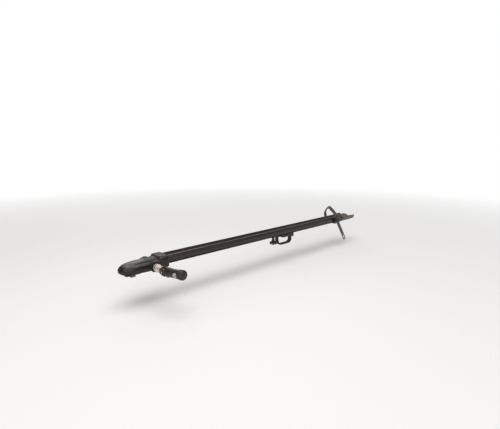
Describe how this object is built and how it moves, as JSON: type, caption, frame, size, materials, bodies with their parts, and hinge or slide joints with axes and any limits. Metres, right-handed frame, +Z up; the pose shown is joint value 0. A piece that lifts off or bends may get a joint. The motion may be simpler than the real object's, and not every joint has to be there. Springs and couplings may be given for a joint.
{
  "type": "roof mounted bike carrier",
  "caption": "Fork-mount roof bike carrier: moulded nose head with locking cam skewer, slim wheel channel, sliding rear bar clamp with wing knob, and ratchet wheel strap",
  "frame": {"origin": "middle of the fork axle (skewer axis) of the head", "axes": "+X back along the wheel channel, +Z up, -Y the side with the cam lever"},
  "size_m": [1.306, 0.2618, 0.1889],
  "materials": {
    "channel_metal": "satin brown-black anodised",
    "tail_plastic": "matte brown-grey moulding",
    "head_plastic": "black moulded, fine grain",
    "cover_gloss": "black, glossy",
    "leaf_panel": "brown-grey pearl paint",
    "bright_steel": "zinc plated",
    "dark_steel": "blackened",
    "tube_metal": "satin",
    "pad_rubber": "matte",
    "collar_metal": "polished, warm tint",
    "rim_bronze": "turned bronze",
    "lever_plastic": "black, satin gloss",
    "grip_rubber": "black soft grip",
    "clamp_plastic": "black moulded",
    "knob_plastic": "black moulded",
    "strap_plastic": "brown-grey flexible moulding",
    "buckle_plastic": "dark moulded"
  },
  "bodies": {
    "carrier": {"tray_channel": "channel_metal", "tray_end_cap": "tail_plastic", "end_cap_rivets": "dark_steel", "head_body": "head_plastic", "nose_cover": "cover_gloss", "nose_insert": "leaf_panel", "nose_rivet": "bright_steel", "cover_screws": "dark_steel", "tray_bolts": "dark_steel", "axle_tube": "tube_metal", "stub_axles": "bright_steel", "front_pad": "pad_rubber", "front_tee_bolts": "bright_steel", "front_nuts": "bright_steel"},
    "skewer": {"skewer_rod": "bright_steel", "cam_pin": "bright_steel"},
    "skewer_nut": {"skewer_nut": "bright_steel"},
    "cam_collar": {"cam_collar": "collar_metal", "collar_rim": "rim_bronze"},
    "cam_lever": {"lever_body": "lever_plastic", "lever_grip": "grip_rubber", "lock_bezel": "bright_steel"},
    "lock_barrel": {"lock_barrel": "bright_steel"},
    "rear_clamp": {"rear_saddle": "clamp_plastic", "rear_pad": "pad_rubber", "slide_nut": "bright_steel", "saddle_bolts": "dark_steel", "clamp_bolt": "bright_steel", "strap_hinge_pin": "bright_steel"},
    "clamp_strap": {"clamp_strap": "clamp_plastic", "strap_liner": "pad_rubber"},
    "clamp_washer": {"clamp_washer": "bright_steel"},
    "wing_knob": {"wing_knob": "knob_plastic", "knob_bush": "rim_bronze"},
    "strap_holder": {"strap_holder": "tail_plastic", "anchor_pin": "bright_steel", "wheel_strap": "strap_plastic", "buckle_base": "buckle_plastic", "buckle_pins": "bright_steel"},
    "buckle_lever": {"buckle_lever": "buckle_plastic"},
    "buckle_pawl": {"buckle_pawl": "buckle_plastic"}
  },
  "joints": [
    {"name": "cam_lever_swing", "type": "hinge", "parent": "skewer", "child": "cam_lever", "pos_m": [0, -0.1049, 0], "axis": [1, 0, 0], "range_deg": [-83, 88]},
    {"name": "skewer_draw", "type": "slide", "parent": "carrier", "child": "skewer", "axis": [0, 1, 0], "range_m": [-0.00125, 0.00125]},
    {"name": "collar_shift", "type": "slide", "parent": "skewer", "child": "cam_collar", "axis": [0, 1, 0], "range_m": [-0.00125, 0.00125]},
    {"name": "nut_spin", "type": "hinge", "parent": "skewer", "child": "skewer_nut", "pos_m": [0, 0.062, 0], "axis": [0, 1, 0], "continuous": true},
    {"name": "lock_turn", "type": "hinge", "parent": "cam_lever", "child": "lock_barrel", "pos_m": [0.01325, -0.16231, 0.00309], "axis": [-0.9744, -0.225, 0], "range_deg": [0, 90]},
    {"name": "clamp_slide", "type": "slide", "parent": "carrier", "child": "rear_clamp", "axis": [1, 0, 0], "range_m": [-0.06, 0.06]},
    {"name": "washer_drop", "type": "slide", "parent": "rear_clamp", "child": "clamp_washer", "axis": [0, 0, 1], "range_m": [-0.008, 0]},
    {"name": "knob_spin", "type": "hinge", "parent": "clamp_washer", "child": "wing_knob", "pos_m": [0.598, 0, -0.022], "axis": [0, 0, 1], "continuous": true},
    {"name": "clamp_strap_drop", "type": "hinge", "parent": "rear_clamp", "child": "clamp_strap", "pos_m": [0.713, 0, -0.022], "axis": [0, 1, 0], "range_deg": [-3.67, 0]},
    {"name": "holder_slide", "type": "slide", "parent": "carrier", "child": "strap_holder", "axis": [1, 0, 0], "range_m": [-0.12, 0.03]},
    {"name": "buckle_lever_swing", "type": "hinge", "parent": "strap_holder", "child": "buckle_lever", "pos_m": [1.02184, -0.0468, 0.03082], "axis": [0.9205, 0, 0.3907], "range_deg": [-110, 0]},
    {"name": "pawl_swing", "type": "hinge", "parent": "strap_holder", "child": "buckle_pawl", "pos_m": [1.032, -0.0408, 0.00689], "axis": [0.9205, 0, 0.3907], "range_deg": [0, 18], "stiffness_Nm_per_rad": 0.02}
  ],
  "couplings": [
    {"joint": "skewer_draw", "follows": "cam_lever_swing", "m_per_rad": 0.000764},
    {"joint": "collar_shift", "follows": "cam_lever_swing", "m_per_rad": -0.000764},
    {"joint": "clamp_strap_drop", "follows": "washer_drop", "rad_per_m": 8}
  ]
}
